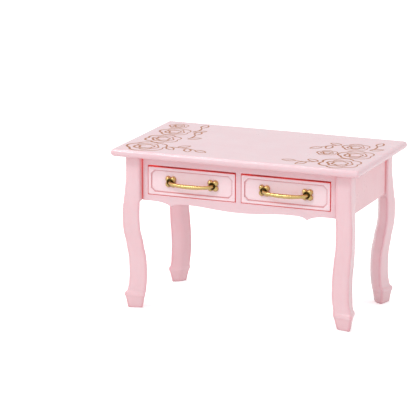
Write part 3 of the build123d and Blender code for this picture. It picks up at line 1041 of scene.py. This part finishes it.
leaves = add(spray_tree, "GeometryNodeInstanceOnPoints", {
    "Points": joints, "Instance": leaf_sides,
    "Rotation": add(spray_tree, "FunctionNodeEulerToRotation", {0: leaf_turn})})
drawn = add(spray_tree, "GeometryNodeJoinGeometry")
for source in (leaves, stem):
    feed(drawn.inputs[0], source)
press_ink(spray, spray_out, drawn)
print("printed spray:", len(spray_tree.nodes), "nodes")

# %% [markdown]
# ## Laying out the two corners
#
# The print fills both front corners and runs back along the ends of the top, so the middle stays
# clear. Each motif is placed one by one, as a designer would with transfers, and each corner becomes
# one piece of ink.

# %% Print both corners
ROSES = {
    # middle x and y, radius, petals
    "left": ((-31.1, -15.2, 6.3, 5.0), (-30.7, -3.4, 5.6, 6.0), (-31.3, 7.4, 5.0, 5.0),
             (-33.4, 15.6, 3.1, 5.0)),
    "right": ((31.2, -14.6, 6.4, 6.0), (31.9, -2.4, 5.6, 5.0), (28.4, 7.8, 4.3, 5.0),
              (22.8, -2.6, 3.2, 5.0)),
}
SPRAYS = {
    # start, bend, end, leaves
    "left": (((-25.0, -13.6), (-19.6, -12.4), (-15.4, -14.8), 4),
             ((-23.6, -1.0), (-22.6, 2.4), (-23.6, 5.4), 2),
             ((-26.0, 9.0), (-24.0, 12.0), (-25.6, 15.4), 2)),
    "right": (((24.4, -15.0), (20.6, -17.2), (17.8, -16.2), 3),
              ((33.6, 5.2), (35.2, 8.2), (34.0, 11.4), 2),
              ((23.4, 8.8), (20.0, 7.6), (18.6, 4.8), 3)),
}
THIN_LINE, LINE_PER_RADIUS, LEAF_LINE = 0.28, 0.06, 0.55
ink_values = {"Lift": (top_high.z - INK_HEIGHT) * MM, "Ink height": INK_HEIGHT * MM, "Material": ink}


def flat_point(x, y):
    """A point of the print, in metres on the drawing plane."""
    return (x * MM, y * MM, 0.0)


def joined(name, pieces):
    """Several printed motifs as one piece of ink."""
    bm = bmesh.new()
    for piece in pieces:
        bm.from_mesh(piece.data)
        bpy.data.objects.remove(piece)
    mesh = bpy.data.meshes.new(name)
    bm.to_mesh(mesh)
    bm.free()
    mesh.materials.append(ink)
    mesh.shade_smooth()
    return show(name, mesh)


for corner_name in ("left", "right"):
    motifs = []
    for x, y, size, petal_count in ROSES[corner_name]:
        motifs.append(grow("rose", bloom_tree, {
            "Centre": flat_point(x, y), "Radius": size * MM, "Petals": petal_count,
            "Line width": (THIN_LINE + LINE_PER_RADIUS * size) * MM, **ink_values}))
    for start, bend, end, leaf_count in SPRAYS[corner_name]:
        motifs.append(grow("spray", spray_tree, {
            "Start": flat_point(*start), "Bend": flat_point(*bend), "End": flat_point(*end),
            "Leaves": leaf_count, "Line width": LEAF_LINE * MM, **ink_values}))
    settle(joined(f"{corner_name}_corner_print", motifs), "table", "table_plastic")

# %% [markdown]
# ## Floor, light and camera
#
# The toy stands on a white sweep in an almost evenly white room, so every face is bright and the
# shadows are faint. Two small soft boxes at the left draw the highlights on the nose and the brass,
# and a large weak one fills the right side. A small object seen from far away through a long lens
# shows almost no perspective, and the lens shift places it in the picture without turning it.

# %% Floor
FLOOR_HALF = 4.0
floor_mesh = bpy.data.meshes.new("floor")
floor_corners = [(x * FLOOR_HALF, y * FLOOR_HALF, 0) for x, y in ((-1, -1), (1, -1), (1, 1), (-1, 1))]
floor_mesh.from_pydata(floor_corners, [], [(0, 1, 2, 3)])
floor = show("floor", floor_mesh)
paper, tree, shader, place = blank_material("white paper")
feed(shader.inputs["Base Color"],
     mix_colour(noise(place, 40.0, 3.0), (0.95, 0.95, 0.95, 1.0), (0.97, 0.97, 0.97, 1.0)))
shader.inputs["Roughness"].default_value = 0.9
seen = add(tree, "ShaderNodeLightPath").outputs["Is Camera Ray"]
feed(shader.inputs["Emission Color"], mix_colour(seen, BLACK, (0.4, 0.4, 0.4, 1.0)))
shader.inputs["Emission Strength"].default_value = 1.0
floor_mesh.materials.append(paper)
print("floor:", 2 * FLOOR_HALF, "m square")

# %% Light
TABLE_MIDDLE = Vector((0, 0, 0.025))


def soft_light(name, place, size, watts):
    """A square soft box that looks at the table."""
    data = bpy.data.lights.new(name, "AREA")
    data.size = size
    data.energy = watts
    box = bpy.data.objects.new(name, data)
    bpy.context.scene.collection.objects.link(box)
    box.location = place
    box.rotation_euler = (TABLE_MIDDLE - box.location).to_track_quat("-Z", "Y").to_euler()


soft_light("key soft box", (-0.42, -0.56, 0.72), 0.2, 2.3)
soft_light("top soft box", (-0.36, 0.0, 0.96), 0.15, 1.2)
soft_light("side soft box", (0.85, 0.05, 0.35), 0.6, 0.5)
world = bpy.data.worlds.new("white studio")
world.use_nodes = True
background = world.node_tree.nodes["Background"]
background.inputs["Color"].default_value = (1.0, 1.0, 1.0, 1.0)
background.inputs["Strength"].default_value = 0.79
bpy.context.scene.world = world
bpy.context.scene.view_settings.view_transform = "Standard"
print("lights: three soft boxes and a white studio")

# %% Camera
AZIMUTH, ELEVATION, ROLL = math.radians(21.2), math.radians(14.2), math.radians(0.3)
DISTANCE = 0.864
camera_data = bpy.data.cameras.new("camera")
camera_data.sensor_width = 36
camera_data.lens = 242.8
camera_data.shift_x = -0.1239
camera_data.shift_y = 0.0507
camera_data.clip_start = 0.01
camera = bpy.data.objects.new("camera", camera_data)
bpy.context.scene.collection.objects.link(camera)
backwards = Vector((math.sin(AZIMUTH) * math.cos(ELEVATION),
                    -math.cos(AZIMUTH) * math.cos(ELEVATION), math.sin(ELEVATION)))
looking = (-backwards).to_track_quat("-Z", "Y").to_matrix().to_4x4()
stand = Matrix.Translation(Vector((0, 0, 0.024)) + backwards * DISTANCE)
camera.matrix_world = stand @ looking @ Matrix.Rotation(ROLL, 4, "Z")
bpy.context.scene.camera = camera
print("camera stands", DISTANCE, "m away")
